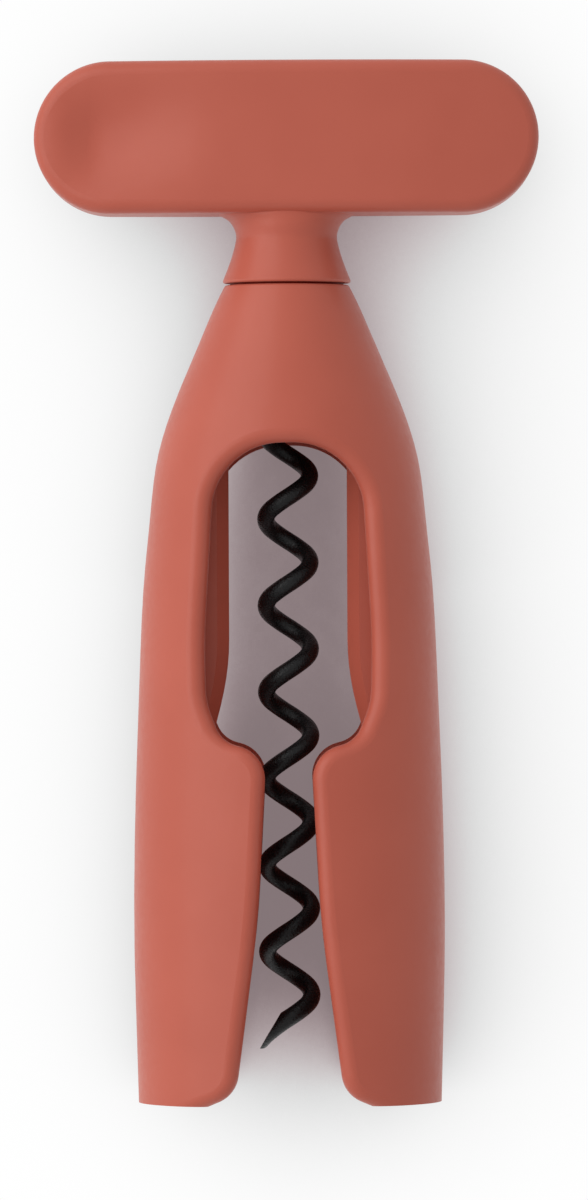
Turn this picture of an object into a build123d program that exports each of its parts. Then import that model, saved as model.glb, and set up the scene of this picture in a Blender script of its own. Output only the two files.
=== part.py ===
from build123d import *
import os
from math import cos, pi, radians, sin, sqrt, tan

# Self-pulling T-handle corkscrew, in millimetres.
# +Z runs up the worm, +X along the handle, and -Y is the front. The feet stand on z = 0.

# Frame outline: ovals from the feet up, the upper ones measured down from the frame's top
frame_height = 125.5
foot_half_width = 23.3
foot_half_depth = 18.7
belly_height = 28.0
belly_half_width = 23.9
belly_half_depth = 19.0
hip_half_width = 23.2
hip_half_depth = 18.6
shoulder_drop = 37.5
shoulder_half_width = 21.4
shoulder_half_depth = 17.6
bend_drop = 23.5
bend_half_width = 19.3
bend_half_depth = 16.4
cone_drop = 13.5
cone_half_width = 15.5
cone_half_depth = 13.8
frame_top_radius = 9.5
frame_top_round = 0.4
frame_oval_count = 17
frame_wall = 3.2

# Window and slot through the front and rear walls: corners of the right-hand edge, from the arch down
crown_height = 24.4
arch_half_width = 11.0
arch_radius = 10.7
window_height = 46.5
window_half_width = 12.75
window_widest_rise = 16.4
window_side_radius = 100.0
window_foot_half_width = 12.55
window_foot_rise = 7.0
window_foot_radius = 12.0
ledge_half_width = 10.2
ledge_rise = 1.0
ledge_radius = 4.5
throat_half_width = 3.4
throat_drop = 0.8
throat_radius = 5.2
slot_middle_half_width = 4.8
slot_side_radius = 150.0
slot_foot_half_width = 8.2
slot_foot_height = 1.9
slot_foot_radius = 5.0
slot_foot_lean = 66.0
opening_round = 1.8

# Cork ribs, the ledge on the bottle's lip and the bottle guides inside the frame
rib_gap = 18.2
rib_half_thickness = 4.0
rib_bevel = 1.8
rib_flare_height = 18.0
rib_flare = 3.4
rib_flare_lean = 14.0
bottle_lip_drop = 1.5
bottle_bore = 30.4
foot_lead_in = 2.0

# Worm
wire = 2.7
worm_diameter = 9.45
worm_pitch = 13.3
worm_coil_drop = 12.7
worm_tip_height = 9.75
worm_tip_angle = 180.0
worm_point_spread = 1.15
worm_point_drop = 0.4
worm_point_thickness = 0.85
worm_grind_lean = 60.0
worm_grind_length = 7.0
worm_run_in = 9.0
tail_bend_radius = 4.0
tail_length = 10.0

# Guide bush and thrust washer in the frame's top
bush_wall = 1.5
bush_length = 12.0
bush_flange_radius = 7.4
bush_flange_thickness = 1.2
worm_clearance = 0.4
washer_radius = 8.7
washer_thickness = 1.0
washer_recess = 0.7

# Handle and its neck
handle_length = 77.5
handle_height = 23.4
handle_middle_thickness = 18.0
handle_plain_end = 5.8
handle_scoop_end = 4.6
handle_round = 2.0
collar_radius = 10.0
collar_round = 0.35
collar_curve = 1.35
neck_radius = 7.75
neck_waist_rise = 7.0
neck_height = 10.6
neck_flare_share = 0.97
neck_flare_half_depth = 8.0
neck_oval_count = 14

# Thumb dish, front left and rear right, and the grid of points that its face passes through
dish_rim = 2.4
dish_depth = 2.0
dish_deepest = 8.0
dish_length = 26.0
dish_half_height = 10.2
face_columns = 81
face_rows = 27

# Core and dowels inside the handle
core_half_length = 22.0
core_half_height = 6.0
core_half_thickness = 3.6
hub_radius = 5.6
dowel_radius = 1.5
dowel_half_length = 5.2
dowel_spacing = 34.0

# Fits, and how far a cutter runs past what it cuts
fit_clearance = 0.02
running_clearance = 0.06
overrun = 1.0

# Places worked out from the sizes above
window_top = frame_height - crown_height
window_bottom = window_top - window_height
lip_height = window_bottom - bottle_lip_drop
cavity_top = frame_height - cone_drop
flange_top = frame_height - washer_recess
flange_bottom = flange_top - bush_flange_thickness
collar_bottom = flange_top + washer_thickness
waist_height = collar_bottom + neck_waist_rise
handle_bottom = collar_bottom + neck_height
handle_middle = handle_bottom + handle_height / 2
bush_bore_radius = worm_diameter / 2 + worm_clearance
bush_radius = bush_bore_radius + bush_wall
worm_path_radius = (worm_diameter - wire) / 2
worm_coil_height = frame_height - worm_coil_drop - worm_tip_height
worm_quarter_turns = round(4 * worm_coil_height / worm_pitch)
half_turn = Rot(0, 0, 180)


def cylinder_between(radius, bottom, top):
    return Pos(0, 0, (bottom + top) / 2) * Cylinder(radius, top - bottom)


def slab_between(bottom, top):
    """A block wider than the frame."""
    return Pos(0, 0, (bottom + top) / 2) * Box(4 * belly_half_width, 4 * belly_half_width, top - bottom)


def off_middle(edges, distance):
    """Those edges that lie wholly in front of the middle plane or behind it."""
    boxes = [(edge, edge.bounding_box()) for edge in edges]
    return [edge for edge, box in boxes if box.max.Y < -distance or box.min.Y > distance]


def frame_stations():
    """Height, half width and half depth of the frame's outside where its outline is set."""
    shoulder_height = frame_height - shoulder_drop
    return [
        (0, foot_half_width, foot_half_depth),
        (belly_height, belly_half_width, belly_half_depth),
        ((belly_height + shoulder_height) / 2, hip_half_width, hip_half_depth),
        (shoulder_height, shoulder_half_width, shoulder_half_depth),
        (frame_height - bend_drop, bend_half_width, bend_half_depth),
        (frame_height - cone_drop, cone_half_width, cone_half_depth),
        (frame_height, frame_top_radius, frame_top_radius),
    ]


def slopes_through(points):
    """Slope of a smooth curve at each of its points, from the runs beside it."""
    runs = [(y1 - y0) / (x1 - x0) for (x0, y0), (x1, y1) in zip(points, points[1:])]
    steps = [x1 - x0 for (x0, y0), (x1, y1) in zip(points, points[1:])]
    inner = [
        (runs[k] * steps[k + 1] + runs[k + 1] * steps[k]) / (steps[k] + steps[k + 1])
        for k in range(len(runs) - 1)
    ]
    return [runs[0], *inner, runs[-1]]


def smooth_value(points, x):
    """Height of the smooth curve through the points, straight on beyond its ends."""
    slopes = slopes_through(points)
    k = max(0, min(len(points) - 2, sum(x > point[0] for point in points[1:-1])))
    (x0, y0), (x1, y1) = points[k], points[k + 1]
    step = x1 - x0
    t = (x - x0) / step
    if t < 0:
        return y0 + slopes[0] * (x - x0)
    if t > 1:
        return y1 + slopes[-1] * (x - x1)
    start = y0 * (1 + 2 * t) + slopes[k] * step * t
    finish = y1 * (3 - 2 * t) - slopes[k + 1] * step * (1 - t)
    return start * (1 - t) ** 2 + finish * t**2


def frame_loft(top, inset):
    """Solid of the frame's oval outline, from just below the feet up to the given height."""
    widths = [(height, width) for height, width, depth in frame_stations()]
    depths = [(height, depth) for height, width, depth in frame_stations()]
    step = frame_height / (frame_oval_count - 3)
    ovals = []
    for index in range(frame_oval_count):
        height = step * (index - 1)
        half_width = smooth_value(widths, height) - inset
        half_depth = smooth_value(depths, height) - inset
        ovals.append(Pos(0, 0, height) * Ellipse(half_width, half_depth))
    return loft(ovals) & slab_between(-overrun, top)


def opening_corners():
    """Corners of the opening's right-hand edge, each with its radius, and the point below the feet."""
    throat_height = window_bottom - throat_drop
    corners = [
        (arch_half_width, window_top, arch_radius),
        (window_half_width, window_bottom + window_widest_rise, window_side_radius),
        (window_foot_half_width, window_bottom + window_foot_rise, window_foot_radius),
        (ledge_half_width, window_bottom + ledge_rise, ledge_radius),
        (throat_half_width, throat_height, throat_radius),
        (slot_middle_half_width, (throat_height + slot_foot_height) / 2, slot_side_radius),
        (slot_foot_half_width, slot_foot_height, slot_foot_radius),
    ]
    run_out = (slot_foot_height + overrun) * tan(radians(slot_foot_lean))
    return corners, (slot_foot_half_width + run_out, -overrun)


def opening_cutter():
    corners, below_foot = opening_corners()
    right = [(x, z) for x, z, radius in corners] + [below_foot]
    left = [(-x, z) for x, z in reversed(right)]
    outline = make_face(Polyline(*right, *left, close=True))
    for x, z, radius in corners:
        pair = [outline.vertices().sort_by_distance((side * x, z))[0] for side in (-1, 1)]
        outline = fillet(pair, radius)
    return extrude(Plane.XZ * outline, amount=2 * belly_half_depth, both=True)


def rib_outline():
    """A cork rib's straight edge and flare, the ledge on the bottle's lip and the bottle guide below it."""
    rib_tip = rib_gap / 2
    guide_tip = bottle_bore / 2
    flare_way = (sin(radians(rib_flare_lean)), -cos(radians(rib_flare_lean)))
    straight = Line((rib_tip, cavity_top + overrun), (rib_tip, lip_height + rib_flare_height))
    flare = Spline(straight @ 1, (rib_tip + rib_flare, lip_height), tangents=((0, -1), flare_way))
    rest = Polyline(
        flare @ 1,
        (guide_tip, lip_height),
        (guide_tip, foot_lead_in),
        (guide_tip + foot_lead_in, 0),
        (belly_half_width, 0),
        (belly_half_width, cavity_top + overrun),
        straight @ 0,
    )
    return make_face(Curve() + [straight, flare] + rest.edges())


def cork_rib():
    rib = extrude(Plane.XZ * rib_outline(), amount=rib_half_thickness, both=True)
    tip_faces = [face for face in rib.faces() if face.bounding_box().max.X < bottle_bore / 2]
    tip_edges = [edge for face in tip_faces for edge in face.edges() if edge.bounding_box().size.Y < overrun]
    rib = chamfer([edge for edge in tip_edges if edge.bounding_box().size.Z > overrun], rib_bevel)
    return rib & frame_loft(frame_height, frame_wall / 2)


def frame_shell():
    shell = frame_loft(frame_height, 0) - frame_loft(cavity_top, frame_wall) - opening_cutter()
    outer_face = shell.faces().sort_by(SortBy.AREA)[-1]
    shell = fillet(off_middle(outer_face.edges(), overrun), opening_round)
    shell = fillet(shell.edges().group_by(Axis.Z)[-1], frame_top_round)
    shell -= slab_between(-frame_height, 0)
    rib = cork_rib()
    shell = shell + rib + mirror(rib, about=Plane.YZ)
    shell -= cylinder_between(bush_radius + fit_clearance, cavity_top - overrun, frame_height)
    shell -= cylinder_between(bush_flange_radius + fit_clearance, flange_bottom, frame_height)
    shell -= cylinder_between(washer_radius + running_clearance, flange_top, frame_height + overrun)
    return shell


def guide_bush():
    bush = cylinder_between(bush_radius, flange_top - bush_length, flange_top)
    bush += cylinder_between(bush_flange_radius, flange_bottom, flange_top)
    return bush - cylinder_between(bush_bore_radius, 0, frame_height)


def thrust_washer():
    washer = cylinder_between(washer_radius, flange_top, collar_bottom)
    return washer - cylinder_between(bush_bore_radius, 0, 2 * frame_height)


def ease(share):
    """Rises from 0 to 1, level at both ends."""
    share = max(0, min(1, share))
    return share**2 * (3 - 2 * share)


def dish_depth_at(x, rise):
    """Depth of the thumb dish: steep beside the handle's left end, then a long ramp towards the middle."""
    run = x + handle_length / 2 - dish_rim
    if run < dish_deepest:
        along = ease(run / dish_deepest)
    else:
        along = ease((dish_length - run) / (dish_length - dish_deepest))
    across = max(0, 1 - (rise / dish_half_height) ** 2) ** 2
    return dish_depth * along * across


def front_depth_at(x, rise):
    """Distance from the handle's middle plane to its front face, which is crowned along X and dished."""
    share = 2 * x / handle_length
    middle = handle_middle_thickness / 2
    mean_end = (handle_plain_end + handle_scoop_end) / 2
    lean = (handle_plain_end - handle_scoop_end) / 2
    return middle - (middle - mean_end) * share**2 + lean * share - dish_depth_at(x, rise)


def front_cutter():
    """All that lies in front of the handle's front face."""
    reach = handle_length / 2 + overrun
    half_height = handle_height / 2 + overrun
    rises = [half_height * (2 * row / (face_rows - 1) - 1) for row in range(face_rows)]
    points = []
    for column in range(face_columns):
        x = reach * (2 * column / (face_columns - 1) - 1)
        points.append([Vector(x, -front_depth_at(x, rise), handle_middle + rise) for rise in rises])
    face = Face.make_surface_from_array_of_points(points)
    return extrude(face, amount=handle_length, dir=(0, -1, 0))


def neck_half_width_at(height):
    """Collar to waist, then a quarter round out to the handle's underside."""
    if height < waist_height:
        share = (waist_height - height) / neck_waist_rise
        return neck_radius + (collar_radius - neck_radius) * share**collar_curve
    flare_radius = handle_bottom - waist_height
    rise = min(height - waist_height, neck_flare_share * flare_radius)
    return neck_radius + flare_radius - sqrt(flare_radius**2 - rise**2)


def handle_neck():
    """Ovals from the collar up to just inside the handle, the flare's kept no deeper than the handle."""
    step = neck_height / (neck_oval_count - 2)
    ovals = []
    for index in range(neck_oval_count):
        height = collar_bottom + step * index
        half_width = neck_half_width_at(height)
        half_depth = half_width if height < waist_height else min(half_width, neck_flare_half_depth)
        ovals.append(Pos(0, 0, height) * Ellipse(half_width, half_depth))
    neck = loft(ovals)
    return fillet(neck.edges().group_by(Axis.Z)[0], collar_round)


def handle_outside():
    stadium = Plane.XZ * Pos(0, handle_middle) * SlotOverall(handle_length, handle_height)
    cutter = front_cutter()
    bar = extrude(stadium, amount=handle_length, both=True) - cutter - half_turn * cutter
    return fillet(off_middle(bar.edges(), 0), handle_round) + handle_neck()


def core_blank(grow, bottom):
    """T of the core's bar and hub, grown by a clearance."""
    bar = Pos(0, 0, handle_middle) * Box(
        2 * (core_half_length + grow), 2 * (core_half_thickness + grow), 2 * (core_half_height + grow)
    )
    return bar + cylinder_between(hub_radius + grow, bottom, handle_middle)


def dowels(grow):
    pin = Rot(90, 0, 0) * Cylinder(dowel_radius + grow, 2 * (dowel_half_length + grow))
    return [Pos(side * dowel_spacing / 2, 0, handle_middle) * pin for side in (-1, 1)]


def handle_front_shell():
    front_block = Box(2 * handle_length, handle_length, handle_length)
    shell = handle_outside() & Pos(0, -handle_length / 2, handle_middle) * front_block
    shell -= core_blank(fit_clearance, collar_bottom - overrun)
    return shell - dowels(fit_clearance)


def handle_rear_shell():
    return half_turn * handle_front_shell()


def helix_point(quarter):
    angle = radians(worm_tip_angle + 90 * quarter)
    height = worm_tip_height + worm_pitch * quarter / 4
    return Vector(worm_path_radius * cos(angle), worm_path_radius * sin(angle), height)


def helix_way(quarter):
    angle = radians(worm_tip_angle + 90 * quarter)
    rise = worm_pitch / (2 * pi)
    return Vector(-worm_path_radius * sin(angle), worm_path_radius * cos(angle), rise).normalized()


def biarc(start, start_way, finish, finish_way):
    """Two arcs that leave start and reach finish along the given directions."""
    span = finish - start
    along = span.dot(start_way + finish_way)
    spread = 2 * (1 - start_way.dot(finish_way))
    reach = (sqrt(along**2 + spread * span.dot(span)) - along) / spread
    middle = (start + start_way * reach + finish - finish_way * reach) / 2
    second = TangentArc(finish, middle, tangent=-finish_way)
    return [TangentArc(start, middle, tangent=start_way), Edge(second.wrapped.Reversed())]


def worm_point():
    """Middle of the wire at the worm's end, a little outside the coil and below it."""
    outward = Vector(cos(radians(worm_tip_angle)), sin(radians(worm_tip_angle)), 0)
    return helix_point(0) + outward * worm_point_spread - Vector(0, 0, worm_point_drop)


def worm_coil():
    """One arc from the point into the coil, then the coil's even quarter turns."""
    chord = (helix_point(1) - worm_point()).normalized()
    point_way = chord * (2 * chord.dot(helix_way(1))) - helix_way(1)
    edges = biarc(worm_point(), point_way, helix_point(1), helix_way(1))
    for quarter in range(1, worm_quarter_turns):
        start, finish = quarter, quarter + 1
        edges += biarc(helix_point(start), helix_way(start), helix_point(finish), helix_way(finish))
    return edges


def worm_shank(top_of_coil):
    """The run in to the axis, the straight shank and the bent tail inside the core."""
    shank_bottom = Vector(0, 0, top_of_coil.Z + worm_run_in)
    bend_bottom = Vector(0, 0, handle_middle - tail_bend_radius)
    tail_start = Vector(tail_bend_radius, 0, handle_middle)
    up = Vector(0, 0, 1)
    run_in = biarc(top_of_coil, helix_way(worm_quarter_turns), shank_bottom, up)
    shank = Line(shank_bottom, bend_bottom)
    bend = TangentArc(bend_bottom, tail_start, tangent=up)
    tail = Line(tail_start, tail_start + Vector(tail_length, 0, 0))
    return run_in, [shank, bend, tail]


def wire_along(edges, radius):
    path = Wire(edges)
    section = Plane(origin=path @ 0, z_dir=path % 0) * Circle(radius)
    return sweep(section, path=path)


def tip_grind():
    """What the grinder takes off the worm's end: its outer upper side, to leave a point below."""
    lean = radians(worm_grind_lean)
    along = Vector(cos(lean), 0, sin(lean))
    outward_and_up = Vector(-sin(lean), 0, cos(lean))
    cut_point = worm_point() + outward_and_up * (worm_point_thickness - wire / 2)
    face = Plane(origin=cut_point, x_dir=along, z_dir=outward_and_up)
    reach = worm_grind_length + wire
    block = Box(reach, worm_diameter, 2 * wire)
    return face * Pos(worm_grind_length - reach / 2, wire - worm_diameter / 2, wire) * block


def worm():
    run_in, shank = worm_shank(helix_point(worm_quarter_turns))
    return wire_along(worm_coil() + run_in + shank, wire / 2) - tip_grind()


def print_coil_gap():
    """Least gap between the coil and itself, on points half a turn or more apart."""
    steps = 12
    points = [helix_point(step / steps) for step in range(worm_quarter_turns * steps + 1)]
    half = 2 * steps
    gap = min(
        (second - first).length
        for index, first in enumerate(points)
        for second in points[index + half :]
    )
    print("least gap of the worm to itself", round(gap - wire, 2))


def handle_core():
    run_in, shank = worm_shank(helix_point(worm_quarter_turns))
    core = core_blank(0, collar_bottom) - wire_along(shank, wire / 2 + fit_clearance)
    return core - dowels(fit_clearance)


def locating_dowels():
    return Compound(children=dowels(0))


def main():
    os.makedirs("parts", exist_ok=True)
    pieces = [
        frame_shell,
        guide_bush,
        thrust_washer,
        handle_front_shell,
        handle_rear_shell,
        handle_core,
        worm,
        locating_dowels,
    ]
    for piece in pieces:
        export_step(piece(), f"parts/{piece.__name__}.step")
    print_coil_gap()


if __name__ == "__main__":
    main()
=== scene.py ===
import math

import bpy
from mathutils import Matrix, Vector


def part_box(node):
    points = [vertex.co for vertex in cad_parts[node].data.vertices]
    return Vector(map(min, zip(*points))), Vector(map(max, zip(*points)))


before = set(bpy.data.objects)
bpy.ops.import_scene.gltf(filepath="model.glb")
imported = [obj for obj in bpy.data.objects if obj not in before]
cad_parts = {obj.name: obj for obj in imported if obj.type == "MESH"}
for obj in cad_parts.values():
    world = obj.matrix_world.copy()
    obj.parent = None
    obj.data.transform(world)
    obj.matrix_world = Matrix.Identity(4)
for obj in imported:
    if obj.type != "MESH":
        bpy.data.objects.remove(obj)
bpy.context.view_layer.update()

# The photograph: straight at the front, with this many pixels to the millimetre on the worm's axis
mm_per_metre = 1000
photo_height_px = 1200
photo_scale = 6.5
camera_distance = 1.3
camera_x = 0.0009
camera_z = 0.0771
camera_roll = math.radians(0.25)
field_height = photo_height_px / photo_scale / mm_per_metre

# The surface that the corkscrew lies on in the photograph, just behind its rear
surface_gap = 0.0002
surface_size = 3.0

# The painted shadow on the surface, which deepens as the object hides more of what is within reach
shade_reach = 0.06
shade_samples = 64
shade_tilt = (-0.19, 0, 0.1)
shade_depth = 1.45
shade_power = 2.0
shade_floor = 0.23
shade_knee = 0.2

# The painted shadow is tinted pink, as a painted reflection of the coral plastic, where the surface is less
# open than the first of these, and grey from the second on
pink_below = 0.3
pink_gone = 0.55

# The painted light that the glowing surface throws back on the object falls off from left to right over this
# span
glow_left = 0.9
glow_right = 0.55
glow_half_span = 0.05

# Half the width of the line where two halves of a mould or a handle meet, which is painted dark as the shade
# of a hairline groove
seam_half_width = 0.00007

# Light levels, where 1 shows a white surface as white. The dome is brighter along its lean.
white_level = 1.0
dome_level = 0.82
dome_lean = (-0.24, 0.35, 0.1)

# The softbox at the upper left
key_level = 1.49
key_distance = 1.0
key_azimuth = math.radians(48)
key_elevation = math.radians(20)
key_width = 0.95
key_height = 1.2

# Nearly all of a noise lies between these two values
noise_low = 0.35
noise_high = 0.65

# How a noise is stretched: not at all, along the core's arms, or along the dowels
even = (1, 1, 1)
along_core = (0.15, 1, 1)
along_dowel = (1, 0.05, 1)

# How strongly plain plastic reflects
plain_gloss = 0.5
washer_gloss = 0.05

# Colours, as red, green, blue and alpha
white = (1, 1, 1, 1)
# Painted reflection of the coral plastic in the surface's shadow
painted_bounce_pink = (1.0, 0.78, 0.81, 1)
coral = (0.492, 0.108, 0.069, 1)
coral_deep = (0.472, 0.101, 0.064, 1)
# Painted shade of the hairline groove on the parting line
seam_groove_shade = (0.25, 0.045, 0.028, 1)
coat_black = (0.0035, 0.0038, 0.0042, 1)
coat_dust = (0.009, 0.009, 0.0095, 1)
bush_black = (0.028, 0.028, 0.03, 1)
bush_grey = (0.04, 0.04, 0.042, 1)
# The washer is a real piece, but its dark red is painted shade of the gap under the collar, in two close
# tones
washer_gap_shade = (0.15, 0.009, 0.004, 1)
washer_gap_shade_pale = (0.18, 0.013, 0.007, 1)
core_grey = (0.11, 0.11, 0.12, 1)
core_fibre = (0.16, 0.16, 0.17, 1)
steel = (0.55, 0.55, 0.56, 1)
steel_dark = (0.42, 0.42, 0.43, 1)


def new_material(name):
    """An empty node material and its tree."""
    material = bpy.data.materials.new(name)
    material.use_nodes = True
    material.node_tree.nodes.clear()
    return material, material.node_tree


def node(tree, kind, inputs=None, **settings):
    """A node with these settings. Each input takes a value, or another node's output as a link."""
    made = tree.nodes.new(kind)
    for name, value in settings.items():
        setattr(made, name, value)
    for name, value in (inputs or {}).items():
        if isinstance(value, bpy.types.NodeSocket):
            tree.links.new(value, made.inputs[name])
        else:
            made.inputs[name].default_value = value
    return made


def maths(tree, operation, *values):
    """The result of a Math node."""
    return node(tree, "ShaderNodeMath", dict(enumerate(values)), operation=operation).outputs["Value"]


def remap(tree, value, from_low, from_high, to_low, to_high):
    """Maps the range of a value to another range, and holds it there."""
    inputs = {
        "Value": value,
        "From Min": from_low,
        "From Max": from_high,
        "To Min": to_low,
        "To Max": to_high,
    }
    return node(tree, "ShaderNodeMapRange", inputs).outputs["Result"]


def blend(tree, factor, first, second, data_type="RGBA"):
    """The first colour or number where factor is 0, the second where it is 1."""
    inputs = {"Factor": factor, "A": first, "B": second}
    return node(tree, "ShaderNodeMix", inputs, data_type=data_type).outputs["Result"]


def blend_shaders(tree, factor, first, second):
    """The first shader where factor is 0, the second where it is 1."""
    inputs = {0: factor, 1: first, 2: second}
    return node(tree, "ShaderNodeMixShader", inputs).outputs["Shader"]


def own_place(tree):
    """A piece's own coordinates, in metres, so that what is drawn on them moves with the piece."""
    return node(tree, "ShaderNodeTexCoord").outputs["Object"]


def own_axis(tree, axis):
    """One of a piece's own coordinates."""
    return node(tree, "ShaderNodeSeparateXYZ", {"Vector": own_place(tree)}).outputs[axis]


def noise(tree, scale, detail=2, stretch=even):
    """Noise with this many waves to the metre."""
    place = node(tree, "ShaderNodeMapping", {"Vector": own_place(tree), "Scale": stretch}).outputs["Vector"]
    inputs = {"Vector": place, "Scale": scale, "Detail": detail}
    return node(tree, "ShaderNodeTexNoise", inputs).outputs["Fac"]


def uneven(tree, scale, detail=2, stretch=even, low=0, high=1):
    """A value that wanders between low and high over the piece."""
    return remap(tree, noise(tree, scale, detail, stretch), noise_low, noise_high, low, high)


def grain(tree, scale, depth, strength, stretch=even):
    """The normal of a surface with a fine grain of this depth."""
    inputs = {"Height": noise(tree, scale, stretch=stretch), "Distance": depth, "Strength": strength}
    return node(tree, "ShaderNodeBump", inputs).outputs["Normal"]


def seam(tree):
    """1 on the mould's parting line, which is the plane y = 0, and 0 away from it."""
    distance = maths(tree, "ABSOLUTE", own_axis(tree, "Y"))
    return remap(tree, distance, 0, seam_half_width, 1, 0)


def principled(tree, look):
    """Ends a material with a principled surface of this look."""
    shader = node(tree, "ShaderNodeBsdfPrincipled", look)
    node(tree, "ShaderNodeOutputMaterial", {"Surface": shader.outputs["BSDF"]})


def coral_plastic():
    """Soft matte moulded plastic: a slow change of tone and a fine spark-eroded grain."""
    material, tree = new_material("coral_plastic")
    tone = blend(tree, uneven(tree, scale=70), coral, coral_deep)
    # The parting line takes a painted shade, darker than the plastic around it.
    principled(tree, {
        "Base Color": blend(tree, seam(tree), tone, seam_groove_shade),
        "Roughness": uneven(tree, scale=900, detail=3, low=0.4, high=0.48),
        "Normal": grain(tree, scale=5200, depth=0.00003, strength=0.25),
        "Specular IOR Level": 0.2,
        "Coat Weight": 0.17,
        "Coat Roughness": 0.26,
    })
    return material


def black_coating():
    """Satin non-stick coat on the wire, slightly uneven, with a trace of dust."""
    material, tree = new_material("black_coating")
    principled(tree, {
        "Base Color": blend(tree, uneven(tree, scale=3000, detail=3), coat_black, coat_dust),
        "Roughness": uneven(tree, scale=3600, low=0.22, high=0.5),
        "Normal": grain(tree, scale=3200, depth=0.0001, strength=1.0),
        "Specular IOR Level": 0.2,
    })
    return material


def plain_plastic(name, first, second, stretch=even, gloss=plain_gloss):
    """Low-friction or filled plastic in two close tones."""
    material, tree = new_material(name)
    principled(tree, {
        "Base Color": blend(tree, uneven(tree, scale=800, detail=3, stretch=stretch), first, second),
        "Roughness": uneven(tree, scale=1200, stretch=stretch, low=0.38, high=0.5),
        "Normal": grain(tree, scale=3000, depth=0.00003, strength=0.3, stretch=stretch),
        "Specular IOR Level": gloss,
    })
    return material


def dowel_steel():
    """Steel drawn along the dowel's length, which is Y."""
    material, tree = new_material("dowel_steel")
    principled(tree, {
        "Base Color": blend(tree, uneven(tree, scale=3000, stretch=along_dowel), steel, steel_dark),
        "Roughness": uneven(tree, scale=3000, stretch=along_dowel, low=0.25, high=0.4),
        "Normal": grain(tree, scale=5000, depth=0.00002, strength=0.3, stretch=along_dowel),
        "Metallic": 1.0,
    })
    return material


def dress(name, material):
    """Gives a piece its one material."""
    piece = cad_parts[name]
    piece.data.materials.clear()
    piece.data.materials.append(material)


def dress_all():
    """Gives every piece its material."""
    coral_material = coral_plastic()
    for name in ("frame_shell", "handle_front_shell", "handle_rear_shell"):
        dress(name, coral_material)
    dress("worm", black_coating())
    dress("guide_bush", plain_plastic("bush_plastic", bush_black, bush_grey))
    # The washer's dark red is painted shade of the gap under the collar.
    dress("thrust_washer", plain_plastic("washer_plastic", washer_gap_shade, washer_gap_shade_pale, gloss=washer_gloss))
    dress("handle_core", plain_plastic("core_plastic", core_grey, core_fibre, stretch=along_core))
    dress("locating_dowels", dowel_steel())


def openness(tree):
    """1 in the open, and less where the object stands over the surface. The tilt shifts it to one side."""
    normal = node(tree, "ShaderNodeNewGeometry").outputs["Normal"]
    tilted = node(tree, "ShaderNodeVectorMath", {0: normal, 1: shade_tilt}, operation="ADD")
    inputs = {"Normal": tilted.outputs["Vector"], "Distance": shade_reach}
    return node(tree, "ShaderNodeAmbientOcclusion", inputs, samples=shade_samples).outputs["AO"]


def shade(tree, openness_here):
    """The level of the surface's painted shadow, from 1 in the open down to the floor, with a soft knee above
    the floor.
    """
    hidden = maths(tree, "SUBTRACT", 1, openness_here)
    softened = maths(tree, "POWER", hidden, shade_power)
    level = maths(tree, "MULTIPLY_ADD", softened, -shade_depth, 1)
    return maths(tree, "SMOOTH_MAX", level, shade_floor, shade_knee)


def surface_material():
    """White surface that glows with a painted shadow where the object stands over it, and can't be seen from
    behind.
    """
    material, tree = new_material("white_surface")
    openness_here = openness(tree)
    # Pink painted into the deep shadow stands in for light reflected off the coral plastic.
    whiteness = remap(tree, openness_here, pink_below, pink_gone, 0, 1)
    colour = blend(tree, whiteness, painted_bounce_pink, white)
    # Painted light: where it lights the object, the surface glows brighter on the left, toward the softbox.
    glow = remap(tree, own_axis(tree, "X"), -glow_half_span, glow_half_span, glow_left, glow_right)
    lights_object = node(tree, "ShaderNodeLightPath").outputs["Is Diffuse Ray"]
    level = blend(tree, lights_object, shade(tree, openness_here), glow, data_type="FLOAT")
    # The surface is an emission, so its shadow is painted rather than cast by the lamps.
    front = node(tree, "ShaderNodeEmission", {"Color": colour, "Strength": level}).outputs["Emission"]
    back = node(tree, "ShaderNodeBsdfTransparent").outputs["BSDF"]
    from_behind = node(tree, "ShaderNodeNewGeometry").outputs["Backfacing"]
    node(tree, "ShaderNodeOutputMaterial", {"Surface": blend_shaders(tree, from_behind, front, back)})
    return material


def stage_surface():
    """Stands the white surface upright behind the object, because the photograph looks down on it."""
    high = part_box("frame_shell")[1]
    middle = Vector((0, high.y + surface_gap, high.z / 2))
    bpy.ops.mesh.primitive_plane_add(size=surface_size, location=middle, rotation=(math.pi / 2, 0, 0))
    plane = bpy.context.object
    plane.name = "white_surface"
    plane.data.materials.append(surface_material())


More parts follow.
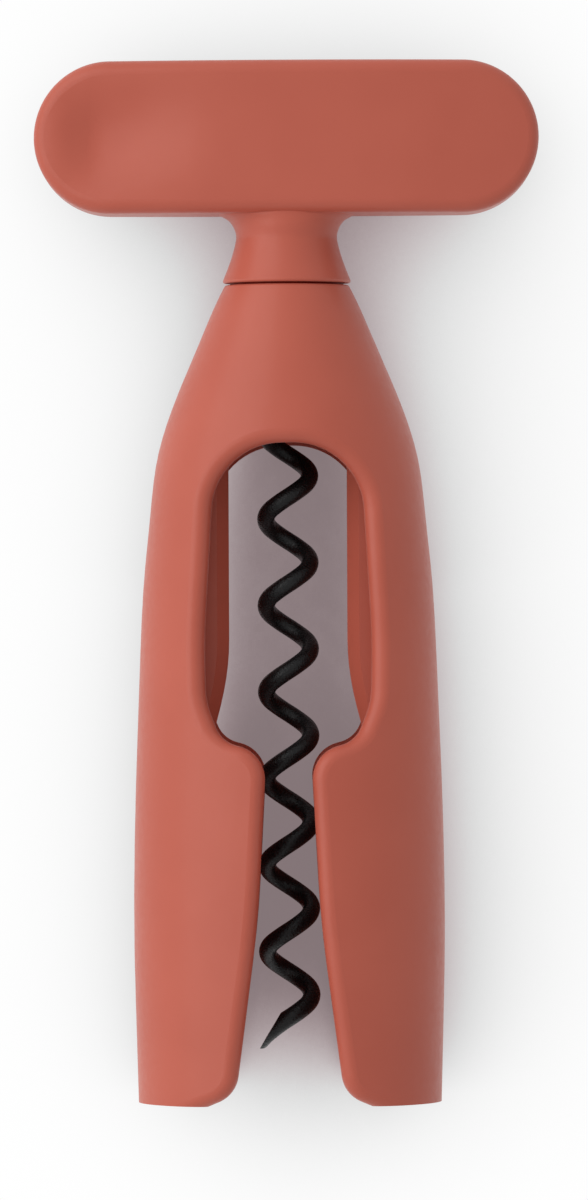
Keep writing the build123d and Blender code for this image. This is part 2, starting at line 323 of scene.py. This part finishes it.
def world_dome():
    """Soft light from all round, brighter along its lean. The camera and reflections see it as white."""
    world = bpy.data.worlds.new("studio")
    bpy.context.scene.world = world
    world.use_nodes = True
    tree = world.node_tree
    tree.nodes.clear()
    way = node(tree, "ShaderNodeTexCoord").outputs["Generated"]
    lean = node(tree, "ShaderNodeVectorMath", {0: way, 1: dome_lean}, operation="DOT_PRODUCT")
    level = maths(tree, "MULTIPLY_ADD", lean.outputs["Value"], dome_level, dome_level)
    path = node(tree, "ShaderNodeLightPath").outputs
    direct = maths(tree, "MAXIMUM", path["Is Camera Ray"], path["Is Glossy Ray"])
    sees_white = maths(tree, "MAXIMUM", direct, path["Is Transmission Ray"])
    light = node(tree, "ShaderNodeBackground", {"Color": white, "Strength": level}).outputs["Background"]
    seen = node(tree, "ShaderNodeBackground", {"Color": white, "Strength": white_level}).outputs["Background"]
    node(tree, "ShaderNodeOutputWorld", {"Surface": blend_shaders(tree, sees_white, light, seen)})


def softbox():
    """A large soft light at the upper left, in front of the object."""
    middle = Vector((0, 0, camera_z))
    across = math.cos(key_elevation)
    way = Vector((-math.sin(key_azimuth) * across, -math.cos(key_azimuth) * across, math.sin(key_elevation)))
    light = bpy.data.lights.new("softbox", "AREA")
    light.shape = "RECTANGLE"
    light.size = key_width
    light.size_y = key_height
    light.energy = key_level * math.pi * key_width * key_height
    lamp = bpy.data.objects.new("softbox", light)
    lamp.location = middle + way * key_distance
    lamp.rotation_mode = "QUATERNION"
    lamp.rotation_quaternion = (-way).to_track_quat("-Z", "Y")
    bpy.context.scene.collection.objects.link(lamp)


def photo_camera():
    """The camera of the photograph, whose lens fits the photograph's height at the worm's axis."""
    camera_data = bpy.data.cameras.new("photo_camera")
    camera_data.lens = camera_data.sensor_width * camera_distance / field_height
    camera = bpy.data.objects.new("photo_camera", camera_data)
    camera.location = (camera_x, -camera_distance, camera_z)
    camera.rotation_euler = (math.pi / 2, camera_roll, 0)
    bpy.context.scene.collection.objects.link(camera)
    bpy.context.scene.camera = camera


dress_all()
stage_surface()
world_dome()
softbox()
photo_camera()
bpy.context.scene.view_settings.view_transform = "Standard"
